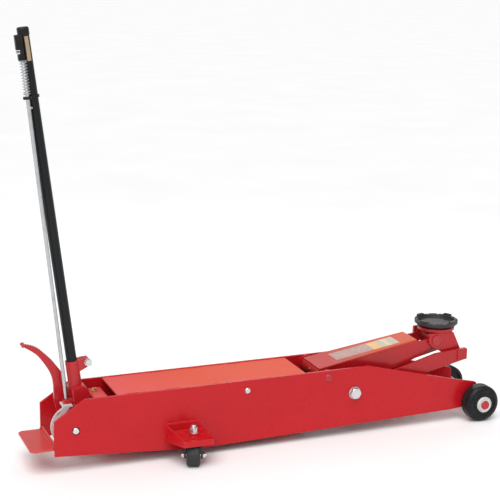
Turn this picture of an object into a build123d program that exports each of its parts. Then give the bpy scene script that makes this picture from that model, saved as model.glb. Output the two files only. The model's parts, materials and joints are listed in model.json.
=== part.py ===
"""A long-chassis hydraulic trolley jack, built as separate named pieces.

Millimetres. While the pieces are built, X runs from the rear of the side plates towards the front wheels,
Y is across the jack with the right side negative, and Z is height above the floor. At export everything moves
back by CENTRE_X, so that X is zero at the middle of the jack's length.
"""
from build123d import *
import os
from math import cos, pi, radians, sin, sqrt, tan

CENTRE_X = 705.0

# Side plates
PLATE_OUT = 95.0
PLATE_T = 8.0
PLATE_IN = PLATE_OUT - PLATE_T
TIE_HALF = PLATE_IN - 0.1
PLATE_TOP = 221.0
BEND_X = 1311.0
TOE_IN = 5.5
DECK_X = (194.0, 801.0)
DECK_T = 5.0

# Pivots, as (x, z)
REAR_PIVOT = (65.0, 127.0)
SPRING_PIN = (602.8, 188.7)
LIFT_PIVOT = (877.0, 198.0)
LINK_ANCHOR = (966.5, 140.5)
CARRIER_PIVOT = (1278.5, 270.5)
LINK_HEAD = (
    CARRIER_PIVOT[0] + LINK_ANCHOR[0] - LIFT_PIVOT[0],
    CARRIER_PIVOT[1] + LINK_ANCHOR[1] - LIFT_PIVOT[1],
)
FRONT_AXLE = (1420.0, 60.0)
RUNNING = 0.05

# Front wheels
WHEEL_R = 60.0
WHEEL_IN = 93.0
WHEEL_W = 45.0
AXLE_R = 15.0
BUSH_R = 19.0
AXLE_END = 149.0

# Casters
KINGPIN = (409.0, -150.0)
CASTER_TRAIL = 15.0
CASTER_TURN = 22.0
CASTER_R = 34.0
CASTER_HALF = 20.0
SHELF_TOP = 88.0

# Lifting arm, in its own frame: s runs from the lift pivot to the carrier pivot, n is square to it
ARM_RISE = 10.236
ARM_LEN = sqrt((CARRIER_PIVOT[0] - LIFT_PIVOT[0]) ** 2 + (CARRIER_PIVOT[1] - LIFT_PIVOT[1]) ** 2)
ARM_REAR_HALF = 59.0
ARM_FRONT_HALF = 45.5
ARM_PLATE_T = 8.0
ARM_TAPER = 1.9
COVER_REAR = (-15.0, 26.0)
COVER_FRONT = (342.0, 19.5)
COVER_T = 5.0
LIFT_SHAFT_R = 13.0
HUB_R = 18.0
ARM_DOWN = 22.5
ARM_UP = 38.5

# Hydraulics
RAM_Z = 118.0
RAM_R = 22.0
HEEL_ARM = LIFT_PIVOT[1] - RAM_Z
HEEL_MID_RHO = 50.6
HEEL_GAP = 0.3
ARM_MID = radians((ARM_UP - ARM_DOWN) / 2)
CROSSHEAD_FACE = LIFT_PIVOT[0] - HEEL_MID_RHO - HEEL_ARM * ARM_MID
PISTON_Z = 97.0
PISTON_R = 9.0
CAM_RATE = REAR_PIVOT[1] - PISTON_Z
CAM_REST = 23.57
HANDLE_FORWARD = 3.0
HANDLE_BACK = 55.0
BLOCK_X = 140.0

# Link plates and carrier
LINK_IN = 63.0
LINK_OUT = 71.0
PAD_OUT = 75.5
CHEEK_IN = 47.0
CHEEK_OUT = 57.0
CARRIER_PIN_R = 12.0
LINK_PIN_R = 11.0
STUB_R = 12.0
SADDLE_X = 1307.0
SADDLE_Z = 304.3
CUP_R = 61.0
STEM_R = 12.0

# Handle, release rod and pedal
HANDLE_LEAN = 7.0
HANDLE_FOOT = (92.5, 200.0)
TUBE_R = 15.75
TUBE_TOP = 1082.0
SOCKET_R = 20.0
ROD_LEAN = 5.9
ROD_FOOT = (55.9, -21.0, 200.0)
ROD_R = 5.5
KNOB_Z = (1004.0, 1074.0)
CLIP_Z = (900.0, 907.0)
RELEASE_STROKE = 12.0
STRAP_R = 64.0
PEDAL_BOLT = (68.0, 155.0)


def face_of(*points, rounding=0.0):
    """A flat face with these corners, all of them rounded alike."""
    face = make_face(Polyline(*points, close=True))
    if rounding:
        return fillet(face.vertices(), rounding)
    return face


def across(face, y_low, y_high):
    """A plate whose outline is drawn in X and Z, reaching across the jack from y_low to y_high."""
    return Pos(0, y_high, 0) * (Rot(90, 0, 0) * extrude(face, y_high - y_low))


def disc_at(point, radius):
    """A circle drawn at (x, z), for adding to a plate's outline."""
    return Pos(*point) * Circle(radius)


def rod_x(x_low, x_high, y, z, radius):
    return Pos((x_low + x_high) / 2, y, z) * (Rot(0, 90, 0) * Cylinder(radius, x_high - x_low))


def rod_y(point, radius, y_low, y_high):
    return Pos(point[0], (y_low + y_high) / 2, point[1]) * (Rot(90, 0, 0) * Cylinder(radius, y_high - y_low))


def rod_z(x, y, radius, z_low, z_high):
    return Pos(x, y, (z_low + z_high) / 2) * Cylinder(radius, z_high - z_low)


def tube_y(point, outer, inner, y_low, y_high):
    return rod_y(point, outer, y_low, y_high) - rod_y(point, inner, y_low - 1, y_high + 1)


def block(x_low, x_high, y_low, y_high, z_low, z_high):
    middle = Pos((x_low + x_high) / 2, (y_low + y_high) / 2, (z_low + z_high) / 2)
    return middle * Box(x_high - x_low, y_high - y_low, z_high - z_low)


def along_x(face, x_low, x_high):
    """A plate whose outline is drawn in Y and Z, reaching along the jack from x_low to x_high."""
    return Pos(x_low, 0, 0) * (Rot(0, 0, 90) * (Rot(90, 0, 0) * extrude(face, x_high - x_low)))


def hexagon_y(point, flats, y_low, y_high):
    return across(Pos(*point) * RegularPolygon(flats / 2, 6, major_radius=False), y_low, y_high)


def other_side(shape):
    return mirror(shape, about=Plane.XZ)


def both_sides(shape):
    return Compound(children=list(shape.solids()) + list(other_side(shape).solids()))


def turned_y(point, profile):
    """A solid of revolution about a line across the jack. The profile is drawn as (radius, y)."""
    return Pos(point[0], 0, point[1]) * revolve(make_face(Polyline(*profile, close=True)), Axis.Y)


def turned_z(x, y, profile):
    """A solid of revolution about an upright line. The profile is drawn as (radius, z)."""
    return Pos(x, y, 0) * (Rot(90, 0, 0) * revolve(make_face(Polyline(*profile, close=True)), Axis.Y))


def toed_in(shape):
    """Turns a right-hand shape inwards about the bend near the front of the side plate."""
    bend = Pos(BEND_X, -PLATE_OUT, 0)
    return bend * (Rot(0, 0, TOE_IN) * (Pos(-BEND_X, PLATE_OUT, 0) * shape))


def arc_points(centre, radius, start, end, step=6):
    """Points round a centre, from one angle to another in degrees."""
    count = max(2, round(abs(end - start) / step))
    angles = [radians(start + (end - start) * i / count) for i in range(count + 1)]
    return [(centre[0] + radius * cos(a), centre[1] + radius * sin(a)) for a in angles]


def on_arm(shape):
    """Carries a shape from the arm's own frame to its rest place."""
    return Pos(LIFT_PIVOT[0], 0, LIFT_PIVOT[1]) * (Rot(0, -ARM_RISE, 0) * shape)


def on_handle(shape):
    """Carries a shape from the handle's own frame, with Z up the tube, to its rest place."""
    return Pos(HANDLE_FOOT[0], 0, HANDLE_FOOT[1]) * (Rot(0, -HANDLE_LEAN, 0) * shape)


def on_rod(shape):
    """Carries a shape from the release rod's own frame, with Z up the rod, to its rest place."""
    return Pos(*ROD_FOOT) * (Rot(0, -ROD_LEAN, 0) * shape)


def coil(start, end, mean_radius, wire_radius, turns):
    """A round-wire spring from one point to another."""
    run = Vector(*end) - Vector(*start)
    path = Helix(run.length / turns, run.length, mean_radius)
    section = Plane(path @ 0, z_dir=path % 0) * Circle(wire_radius)
    spring = sweep(section, path=path, is_frenet=True)
    return Plane(origin=start, z_dir=run) * spring


def side_plate():
    outline = face_of(
        (0, 55.5), (0, 161), (91.4, PLATE_TOP), (1015.8, 222.5), (1422, 121), (1422, 43), (464.6, 23.1)
    )
    nose = outline.vertices().sort_by_distance((1422, 121))[0]
    outline = fillet(nose, 10) + disc_at(FRONT_AXLE, 24)
    whole = across(outline, -PLATE_OUT, -PLATE_IN)
    rear = whole & block(-1, BEND_X, -100, -80, 0, 300)
    front = whole & block(BEND_X, 1500, -100, -80, 0, 300)
    plate = rear + toed_in(front)
    holes = (
        (REAR_PIVOT, 12.5),
        (SPRING_PIN, 9 + RUNNING),
        (LIFT_PIVOT, LIFT_SHAFT_R + RUNNING),
        (LINK_ANCHOR, STUB_R + RUNNING),
        (FRONT_AXLE, AXLE_R + RUNNING),
    )
    for point, radius in holes:
        plate -= rod_y(point, radius, -100, -60)
    return plate


def rear_foot_plate():
    """A step plate behind the chassis, bent up where it enters between the side plates."""
    step = face_of((-70, 80), (-59, 91), (-0.1, 91), (-0.1, TIE_HALF), (7, TIE_HALF), (7, -TIE_HALF))
    step += face_of((7, -TIE_HALF), (-0.1, -TIE_HALF), (-0.1, -91), (-59, -91), (-70, -80), (-70, 80))
    plate = Pos(0, 0, 73) * extrude(step, 5)
    lip = across(face_of((2, 77), (7, 77), (7, 89), (4.5, 89), (2, 86.5)), -TIE_HALF, TIE_HALF)
    return plate + lip


def frame_ties():
    rear = block(146, 246, -TIE_HALF, TIE_HALF, 58, 64)
    front = block(716, 780, -TIE_HALF, TIE_HALF, 36, 44)
    right_half = [(-TIE_HALF, 40), (-TIE_HALF, 140), (-62, 152), (-62, 184)]
    outline = face_of(*right_half, *[(-y, z) for y, z in reversed(right_half)])
    bulkhead = along_x(outline, 690, 700) - rod_x(680, 710, 0, RAM_Z, 60.1)
    return Compound(children=[rear, front, bulkhead])


def pivot_bosses():
    """Rings welded inside the side plates, which carry the shafts and space out what turns on them."""
    axle_ring = tube_y(FRONT_AXLE, 22, AXLE_R + RUNNING, -84, -60)
    axle_ring &= toed_in(block(BEND_X, 1500, -TIE_HALF, 0, 0, 200))
    rings = [
        axle_ring,
        tube_y(REAR_PIVOT, 20, 10 + RUNNING, -TIE_HALF, -77),
        tube_y(LIFT_PIVOT, 24, LIFT_SHAFT_R + RUNNING, -TIE_HALF, -80.4),
        tube_y(LINK_ANCHOR, 20, STUB_R + RUNNING, -TIE_HALF, -LINK_OUT - 0.4),
    ]
    return both_sides(Compound(children=rings))


def capped_shaft(point, radius, half_length, chamfer_size):
    shaft = rod_y(point, radius, -half_length, half_length)
    return chamfer(shaft.edges().filter_by(GeomType.CIRCLE), chamfer_size)


def link_bolts():
    """Bolts that the outer links turn on, each with its washer outside and a retaining ring inside."""
    head = hexagon_y(LINK_ANCHOR, 33, -110, -98.2)
    head &= Pos(LINK_ANCHOR[0], 0, LINK_ANCHOR[1]) * revolve(
        make_face(Polyline((0, -110), (16, -110), (20, -107), (20, -98), (0, -98), close=True)), Axis.Y
    )
    washer = rod_y(LINK_ANCHOR, 20, -98.2, -PLATE_OUT - 0.05)
    shank = rod_y(LINK_ANCHOR, STUB_R, -98.2, -58)
    retainer = rod_y(LINK_ANCHOR, 18, -62.6, -58.4)
    return both_sides(head + washer + shank + retainer)


def front_axle():
    """The axle is turned down near each end for its retaining clip."""
    groove = tube_y(FRONT_AXLE, 16, 13, 144.2, 146.2)
    return capped_shaft(FRONT_AXLE, AXLE_R, AXLE_END, 1.5) - groove - other_side(groove)


def axle_retainers():
    """A washer on the inner side of each wheel, and a spring clip in the groove on the outer side."""
    washer = tube_y(FRONT_AXLE, 26, AXLE_R + RUNNING, 0.6 - WHEEL_IN, 5.2 - WHEEL_IN)
    clip = tube_y(FRONT_AXLE, 19.5, 13.1, -146, -144.4)
    return both_sides(Compound(children=[washer, clip]))


def front_wheel():
    """A solid wheel with a broad round shoulder on the outside and a shallow ring pressed into its face."""
    low = -WHEEL_IN
    high = -WHEEL_IN - WHEEL_W
    outline = face_of((BUSH_R + RUNNING, low), (WHEEL_R, low), (WHEEL_R, high), (BUSH_R + RUNNING, high))
    rim_in = outline.vertices().sort_by_distance((WHEEL_R, low))[0]
    outline = chamfer(rim_in, 4)
    rim_out = outline.vertices().sort_by_distance((WHEEL_R, high))[0]
    outline = fillet(rim_out, 16)
    ring = Pos(37, high) * Rectangle(9, 5)
    inner_ring = Pos(38, low) * Rectangle(22, 12)
    tread_lines = [Pos(WHEEL_R, low - step) * Rectangle(1.6, 1.2) for step in (12, 20)]
    for cut in [ring, inner_ring, *tread_lines]:
        outline -= cut
    return Pos(FRONT_AXLE[0], 0, FRONT_AXLE[1]) * revolve(outline, Axis.Y)


def wheel_bush():
    """A flanged bush pressed into the wheel, whose flange is the pale ring round the axle's end."""
    low = -WHEEL_IN
    high = -WHEEL_IN - WHEEL_W
    bore = AXLE_R + RUNNING
    return turned_y(
        FRONT_AXLE,
        [
            (bore, low),
            (BUSH_R, low),
            (BUSH_R, high - 0.05),
            (26, high - 0.05),
            (26, high - 4),
            (24, high - 6),
            (bore, high - 6),
        ],
    )


def caster_bracket():
    """A shelf welded to the side plate, with a skirt under its edge and a sloping wall along its rear."""
    plan = face_of((335, -95.1), (460, -95.1), (460, -194), (366, -194))
    plan = fillet([plan.vertices().sort_by_distance((x, -194))[0] for x in (366, 460)], 12)
    side = face_of(
        (-95.1, 60), (-95.1, 114), (-103, 114), (-184, SHELF_TOP + 2), (-194, SHELF_TOP), (-194, 70)
    )
    bracket = extrude(plan, 120) & along_x(side, 330, 465)
    above = face_of((342, -101), (470, -101), (470, -210), (376.7, -210))
    below = face_of((342, -101), (455, -101), (455, -189), (370, -189))
    bracket -= Pos(0, 0, SHELF_TOP) * extrude(above, 40)
    bracket -= Pos(0, 0, 40) * extrude(below, SHELF_TOP - 46)
    bracket += rod_z(*KINGPIN, 14, SHELF_TOP - 1, SHELF_TOP + 10)
    return bracket - rod_z(*KINGPIN, 8 + RUNNING, 50, 120)


def caster_kingpin():
    """The pin the caster swivels on, with the bearing race under its bracket."""
    pin = rod_z(*KINGPIN, 8, 70.2, SHELF_TOP + 35)
    head = rod_z(*KINGPIN, 13, 70.2, 73.9)
    race = rod_z(*KINGPIN, 26, 79.7, 81.95) - rod_z(*KINGPIN, 8 + RUNNING, 70, 90)
    return Compound(children=[chamfer(pin.edges().sort_by(Axis.Z)[-1], 1.5) + head, race])


def caster_nut():
    """A castellated nut on a washer, at the top of the kingpin."""
    seat = SHELF_TOP + 10.05
    body = Pos(*KINGPIN, seat + 2) * extrude(RegularPolygon(10.5, 6, major_radius=False), 15)
    for turn in range(3):
        body -= Pos(*KINGPIN, seat + 15.5) * (Rot(0, 0, 60 * turn + 30) * Box(40, 4, 5))
    return body + rod_z(*KINGPIN, 12.5, seat, seat + 2) - rod_z(*KINGPIN, 8 + RUNNING, 80, 130)


def on_caster(shape):
    """Carry a shape drawn round the kingpin, its wheel trailing towards -Y, to its place on the jack."""
    return Pos(*KINGPIN) * (Rot(0, 0, -CASTER_TURN) * shape)


def caster_fork():
    """A pressed fork: a round crown on the kingpin and two legs that reach down to the wheel's axle."""
    crown = rod_z(0, 0, 36, 74, 79.5)
    side = face_of(
        (22, 79.5),
        (-22, 79.5),
        (-CASTER_TRAIL - 11, 38),
        (-CASTER_TRAIL - 8, 25),
        (-CASTER_TRAIL + 8, 25),
        (8, 60),
    )
    legs = along_x(side, -28, -22.5) + along_x(side, 22.5, 28)
    fork = crown + legs - rod_z(0, 0, 8 + RUNNING, 60, 90)
    return on_caster(fork - rod_x(-50, 50, -CASTER_TRAIL, CASTER_R, 5 + RUNNING))


def caster_axle():
    """A bolt through the fork with a hexagon head on one side and a nut on the other."""
    bolt = rod_x(-36, 38, -CASTER_TRAIL, CASTER_R, 5)
    hexagon = Rot(0, 90, 0) * extrude(RegularPolygon(8, 6, major_radius=False), 6.9)
    for x in (-35, 28.1):
        bolt += Pos(x, -CASTER_TRAIL, CASTER_R) * hexagon
    return on_caster(bolt)


def caster_wheel():
    bore = 5 + RUNNING
    half = CASTER_HALF
    outline = face_of((bore, -half), (CASTER_R, -half), (CASTER_R, half), (bore, half))
    rims = [outline.vertices().sort_by_distance((CASTER_R, y))[0] for y in (-half, half)]
    outline = fillet(rims, 6)
    wheel = Rot(0, 0, 90) * revolve(outline, Axis.Y)
    return on_caster(Pos(0, -CASTER_TRAIL, CASTER_R) * wheel)


def arm_plate():
    """The arm's right-hand side plate, which closes in towards the carrier."""
    outline = face_of(
        (-8, 24),
        (COVER_FRONT[0], COVER_FRONT[1] - COVER_T - 0.1),
        (356, 8),
        (ARM_LEN, 8),
        (ARM_LEN, -19),
        (352, -37),
        (290, -49),
        (215, -52),
        (90, -46),
        (10, -25),
    )
    outline += disc_at((0, 0), 26)
    outline += disc_at((ARM_LEN, 0), 20)
    outline -= above_arm()
    plate = across(outline, -ARM_REAR_HALF, -ARM_REAR_HALF + ARM_PLATE_T)
    plate = Pos(0, -ARM_REAR_HALF, 0) * Rot(0, 0, ARM_TAPER) * Pos(0, ARM_REAR_HALF, 0) * plate
    plate -= rod_y((0, 0), HUB_R + RUNNING, -100, 0)
    plate -= rod_y((ARM_LEN, 0), CARRIER_PIN_R + RUNNING, -100, 0)
    return on_arm(plate)


def nose_sector():
    """The part of a circle round the hub that the cover's rolled end fills."""
    return face_of((COVER_REAR[0] + 1, 40), (COVER_REAR[0] + 1, 10), (0, 0), (-40, -16), (-40, 40))


def above_arm():
    """Everything from the cover's lower face upwards, for trimming what lies under the cover."""
    under_cover = cover_underside()
    under = [(x, under_cover(x)) for x in (343, -60)]
    return face_of(*under, (-60, 80), (420, 80), (420, 17), (343, 17))


def cover_underside():
    """The height of the cover's lower face, as a function of the distance along the arm."""
    slope = (COVER_FRONT[1] - COVER_REAR[1]) / (COVER_FRONT[0] - COVER_REAR[0])
    return lambda s: COVER_REAR[1] - COVER_T - 0.05 + slope * (s - COVER_REAR[0])


def arm_cover():
    """The arm's top plate, tapered in plan and rolled round the hub at its rear end."""
    (s0, n0), (s1, n1) = COVER_REAR, COVER_FRONT
    top = across(face_of((s0, n0 - COVER_T), (s0, n0), (s1, n1), (s1, n1 - COVER_T)), -70, 70)
    plan = face_of((-40, -62), (0, -62), (s1 + 5, -47.5), (s1 + 5, 47.5), (0, 62), (-40, 62))
    top &= Pos(0, 0, -60) * extrude(plan, 120)
    roll = (Circle(25.9) - Circle(HUB_R + 0.3)) & nose_sector()
    nipple_hole = Rot(0, -157, 0) * rod_x(10, 40, 0, 0, 4.05)
    return on_arm(top + across(roll, -50.4, 50.4) - nipple_hole)


def grease_nipple():
    nipple = rod_x(HUB_R + 0.3, 27, 0, 0, 4)
    nipple += rod_x(27, 31, 0, 0, 2.6)
    return on_arm(Rot(0, -157, 0) * nipple)


def arm_braces():
    """The floor of the arm's box and the tube that ties its plates together near the carrier."""
    floor = across(face_of((100, -39), (330, -25.5), (330, -20.5), (100, -34)), -60, 60)
    plan = face_of((90, -47.6), (340, -39.3), (340, 39.3), (90, 47.6))
    floor &= Pos(0, 0, -60) * extrude(plan, 60)
    tube = tube_y((352, -8), 11, 7, -38.8, 38.8)
    return Compound(children=[on_arm(floor), on_arm(tube)])


def lift_heel():
    """Two lobes under the hub. Their rear edge is an involute, so that the ram's flat face always pushes at
    the same distance below the lift pivot."""
    steps = 24
    edge = []
    for i in range(steps + 1):
        turn = radians(ARM_UP + ARM_DOWN) * (0.5 - i / steps)
        rho = HEEL_MID_RHO - HEEL_ARM * turn
        angle = turn + ARM_MID
        edge.append((-rho * cos(angle) - HEEL_ARM * sin(angle), rho * sin(angle) - HEEL_ARM * cos(angle)))
    first, last = edge[0], edge[-1]
    turn_back = lambda x, z: (x * cos(ARM_MID) + z * sin(ARM_MID), -x * sin(ARM_MID) + z * cos(ARM_MID))
    web = [turn_back(*p) for p in ((-24, -122), (10, -112), (24, -60), (22, -8), (-15, -24), (-30, -50))]
    outline = make_face(Spline(*edge) + Polyline(last, *web, first))
    outline += Circle(25.5)
    lobe = across(outline, -26, -10) - rod_y((0, 0), HUB_R + RUNNING, -40, 0)
    lobe = Pos(LIFT_PIVOT[0], 0, LIFT_PIVOT[1]) * lobe
    lobe -= on_arm(across(above_arm(), -40, 0))
    lobe -= on_arm(across(Circle(26.3) & nose_sector(), -40, 0))
    return both_sides(lobe)


def link_plates():
    """The outer links that keep the saddle level, each with a thickened square end."""
    x, z = LINK_ANCHOR
    outline = face_of(
        (x - 4, z - 21.6),
        (1150, 150),
        (1310.8, 184.3),
        (1385, 201),
        (1385, 239),
        (1350, 236.5),
        (1269.7, 229.7),
        (1131.6, 193),
        (x - 9, z + 20),
    )
    corners = [outline.vertices().sort_by_distance(c)[0] for c in ((1385, 201), (1385, 239))]
    outline = fillet(corners, 5) + disc_at(LINK_ANCHOR, 22)
    link = across(outline, -LINK_OUT, -LINK_IN)
    link -= rod_y(LINK_ANCHOR, STUB_R + RUNNING, -80, -60)
    pad = face_of((1351, 198), (1385, 202), (1385, 239), (1351, 237.5), rounding=4)
    pad = across(pad, -PAD_OUT, -LINK_OUT + 0.5)
    link = link + pad - rod_y(LINK_HEAD, LINK_PIN_R + RUNNING, -LINK_OUT, -60)
    return both_sides(link)


def carrier_frame():
    """Two cheeks that hold both pivots, joined under the saddle by a cross web."""
    outline = face_of(
        (1252, 293),
        (1341, 293),
        (1368, 236),
        (1386, 222),
        (1386, 200),
        (1372, 194),
        (1352, 197),
        (1268, 247),
        (1252, 262),
        rounding=5,
    )
    cheek = across(outline, -CHEEK_OUT, -CHEEK_IN)
    for point, radius in ((CARRIER_PIVOT, CARRIER_PIN_R), (LINK_HEAD, LINK_PIN_R)):
        cheek -= rod_y(point, radius + RUNNING, -70, -40)
    web = across(face_of((1322, 292), (1332, 292), (1348, 244), (1338, 240)), -CHEEK_IN - 1, CHEEK_IN + 1)
    return cheek + other_side(cheek) + web


def carrier_cup():
    cup = rod_z(SADDLE_X, 0, CUP_R, 293.05, 304)
    cup = chamfer(cup.edges().sort_by(Axis.Z)[0], 2)
    return cup - rod_z(SADDLE_X, 0, STEM_R + RUNNING, 280, 310)


def carrier_pins():
    upper = rod_y(CARRIER_PIVOT, CARRIER_PIN_R, -57, 57)
    upper_heads = both_sides(rod_y(CARRIER_PIVOT, 16, -61, -CHEEK_OUT - 0.05))
    lower = rod_y(LINK_HEAD, LINK_PIN_R, -LINK_OUT + 0.4, LINK_OUT - 0.4)
    spacers = both_sides(tube_y(LINK_HEAD, 17, LINK_PIN_R - 1, -LINK_IN + 0.4, -CHEEK_OUT - 0.05))
    return Compound(children=[upper + upper_heads, lower + spacers])


def saddle():
    """A round forged pad: a dished floor inside a scalloped rim with four raised lugs."""
    z = SADDLE_Z
    profile = [
        (0, z + 11),
        (57, z + 11),
        (60, z + 20),
        (66, z + 22),
        (71, z + 20),
        (71, z + 11),
        (64, z + 5),
        (50, z),
        (0, z),
    ]
    pad = turned_z(SADDLE_X, 0, profile)
    lug_ring = rod_z(0, 0, 71, z + 12, z + 26) - rod_z(0, 0, 60.5, z, z + 30)
    for i in range(4):
        wedge = Pos(66, 0, z + 19) * Box(20, 26, 14)
        pad += Pos(SADDLE_X, 0, 0) * (Rot(0, 0, 90 * i + 25) * (lug_ring & wedge))
    for i in range(12):
        if i % 3 == 1:
            continue
        scallop = Pos(66, 0, z + 27) * (Rot(0, 90, 0) * Cylinder(8, 24))
        pad -= Pos(SADDLE_X, 0, 0) * (Rot(0, 0, 30 * i - 5) * scallop)
    return pad + rod_z(SADDLE_X, 0, STEM_R, 288, z + 1)


def pump_block():
    body = block(BLOCK_X, 250, -48, 48, 64.05, 150)
    return body - rod_x(BLOCK_X - 1, 232, 0, PISTON_Z, PISTON_R + RUNNING)


def reservoir_head():
    head = block(BLOCK_X, 186, -78, 78, 150.05, 195)
    return fillet(head.edges().filter_by(Axis.Z) + head.edges().group_by(Axis.Z)[-1], 5)


def pump_plugs():
    """The oil filler plug on top and the relief valve's cap on the left of the pump block."""
    filler = rod_z(158, 44, 8, 195.05, 198)
    filler += Pos(158, 44, 198) * extrude(RegularPolygon(7, 6, major_radius=False), 7)
    relief = hexagon_y((205, 110), 19, 48.05, 60)
    return Compound(children=[filler, relief])


def cylinder_shell(outer, inner, x_low, x_high):
    return rod_x(x_low, x_high, 0, RAM_Z, outer) - rod_x(x_low - 1, x_high + 1, 0, RAM_Z, inner)


def cylinder_gland():
    """The cylinder's front cap with the hexagon gland nut that the ram slides through."""
    cap = rod_x(720.05, 738, 0, RAM_Z, 60)
    cap = chamfer(cap.edges().filter_by(GeomType.CIRCLE).sort_by(Axis.X)[-1], 3)
    nut = Pos(738, 0, RAM_Z) * (Rot(0, 90, 0) * extrude(RegularPolygon(34, 6, major_radius=False), 12))
    return cap + nut - rod_x(700, 760, 0, RAM_Z, RAM_R + RUNNING)


def ram():
    rod = rod_x(480, CROSSHEAD_FACE - 20.35, 0, RAM_Z, RAM_R)
    return rod + rod_x(470, 492, 0, RAM_Z, 26 - RUNNING)


def ram_crosshead():
    """The ram's flat pushing face, with the cross pin that the return springs pull on."""
    face_x = CROSSHEAD_FACE - HEEL_GAP
    head = block(face_x - 20, face_x, -34, 34, 84, 157)
    head = fillet(head.edges().filter_by(Axis.X), 6)
    return head + rod_y((face_x - 10, 147), 6, -84, 84)


def return_springs():
    """Two springs that pull the ram back, hooked over the anchor pin and the crosshead's cross pin."""
    hook = CROSSHEAD_FACE - HEEL_GAP - 10
    spring = coil((SPRING_PIN[0] + 14, -75, SPRING_PIN[1] - 3), (hook - 11, -75, 149), 8, 1.8, 24)
    rear_eye = Pos(SPRING_PIN[0], -75, SPRING_PIN[1]) * (Rot(90, 0, 0) * Torus(11.6, 1.8))
    front_eye = Pos(hook, -75, 147) * (Rot(90, 0, 0) * Torus(8.6, 1.8))
    return both_sides(Compound(children=[spring, rear_eye, front_eye]))


def piston_face():
    return REAR_PIVOT[0] + CAM_REST + HEEL_GAP


def pump_piston():
    head = rod_x(piston_face(), piston_face() + 5, 0, PISTON_Z, 14)
    return head + rod_x(piston_face() + 4, 198, 0, PISTON_Z, PISTON_R)


def pump_spring():
    return coil((piston_face() + 6.6, 0, PISTON_Z), (BLOCK_X - 1.6, 0, PISTON_Z), 11.4, 1.3, 6)


def cam_lobe():
    """The socket's lobe. It is an involute, so the pump piston moves in step with the handle's angle."""
    steps = 20
    edge = []
    for i in range(steps + 1):
        turn = radians(-HANDLE_FORWARD - 2 + (HANDLE_BACK + HANDLE_FORWARD + 4) * i / steps)
        reach = CAM_REST + CAM_RATE * turn
        edge.append((reach * cos(turn) - CAM_RATE * sin(turn), -reach * sin(turn) - CAM_RATE * cos(turn)))
    lobe = make_face(Spline(*edge) + Polyline(edge[-1], (-4, -52), (-16, -6), (10, 4), edge[0]))
    lobe += Circle(17)
    return Pos(*REAR_PIVOT) * lobe


def handle_socket():
    """The cast socket: a split clamp for the tube, a deep block, and a forked foot on the rear pivot."""
    sleeve = rod_z(0, 0, SOCKET_R, 20, 115)
    body = across(face_of((-19.5, -40), (-19.5, 36), (18, 40), (32, 24), (32, -40)), -34, 34)
    body = fillet(body.edges().filter_by(Axis.Z), 6)
    ear = face_of((8, 76), (22, 82), (40, 88), (52, 94), (55, 104), (48, 114), (36, 116), (8, 115))
    ear = across(ear, -14, 14)
    upper = sleeve + body + ear
    upper -= block(10, 70, -1.6, 1.6, 70, 130)
    upper -= rod_y((45, 103), 6.2, -40, 40)
    upper = on_handle(upper)
    lug = block(44, 82, -32, -10, 193.5, 202)
    upper += fillet(lug.edges().filter_by(Axis.Z).group_by(Axis.X)[0], 6)
    x, z = REAR_PIVOT
    cheek = face_of((x - 26, z), (x - 1, z + 42), (x + 66, z + 50), (x + 66, z + 34), (x + 24, z - 8))
    cheek = across(cheek + disc_at(REAR_PIVOT, 26), -38, -28)
    neck = across(face_of((x + 4, z + 30), (x + 4, z + 44), (x + 62, z + 50), (x + 62, z + 30)), -38, 38)
    web = face_of((x + 2, z + 8), (x + 6, z + 40), (x + 40, z + 40), (x + 16, z + 4))
    cam = across(cam_lobe() + web, -9, 9)
    socket = upper + cheek + other_side(cheek) + neck + cam
    socket -= on_handle(rod_z(0, 0, TUBE_R + RUNNING, 6, 130))
    socket -= on_rod(rod_z(0, 0, ROD_R + 0.6, -20, 40))
    return socket - rod_y(REAR_PIVOT, 10 + RUNNING, -60, 60) - rod_y(PEDAL_BOLT, 5 + RUNNING, -60, 60)


def pedal_bolt():
    """The cross bolt that fixes the foot pedal inside the socket's fork."""
    bolt = rod_y(PEDAL_BOLT, 5, -39, 46)
    return bolt + hexagon_y(PEDAL_BOLT, 16, -38.05 - 2.8, -38.05) + hexagon_y(PEDAL_BOLT, 16, 38.05, 45)


def clamp_bolt():
    bolt = rod_y((45, 103), 6, -16, 22)
    bolt += hexagon_y((45, 103), 19, -25, -16.1)
    bolt += rod_y((45, 103), 11.5, -16.1, -14.05)
    bolt += hexagon_y((45, 103), 19, 14.05, 22)
    return on_handle(bolt)


def handle_tube():
    return on_handle(rod_z(0, 0, TUBE_R, 6.1, TUBE_TOP) - rod_z(0, 0, TUBE_R - 2.5, 0, TUBE_TOP + 10))


def handle_cap():
    cap = rod_z(0, 0, 17, 1074, 1096) - rod_z(0, 0, TUBE_R + RUNNING, 1070, TUBE_TOP + 0.1)
    return on_handle(chamfer(cap.edges().sort_by(Axis.Z)[-1], 3))


def rod_clip():
    """The clip on the tube that steers the release rod and seats its spring."""
    rod_y_offset = ROD_FOOT[1]
    low, high = CLIP_Z
    reach = (ROD_FOOT[0] - HANDLE_FOOT[0]) * cos(radians(HANDLE_LEAN))
    reach += low * tan(radians(HANDLE_LEAN - ROD_LEAN))
    span = sqrt(reach**2 + rod_y_offset**2)
    side_x, side_y = -rod_y_offset * 7 / span, reach * 7 / span
    outline = face_of(
        (side_x, side_y),
        (reach + side_x, rod_y_offset + side_y),
        (reach - side_x, rod_y_offset - side_y),
        (-side_x, -side_y),
    )
    outline += Circle(TUBE_R + 3.5)
    outline += Pos(reach, rod_y_offset) * Circle(12.5)
    outline -= Circle(TUBE_R + RUNNING)
    clip = on_handle(Pos(0, 0, low) * extrude(outline, high - low))
    return clip - on_rod(rod_z(0, 0, ROD_R + 0.6, 100, 1000))


def release_rod():
    return on_rod(rod_z(0, 0, ROD_R, -13, 1015))


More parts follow.
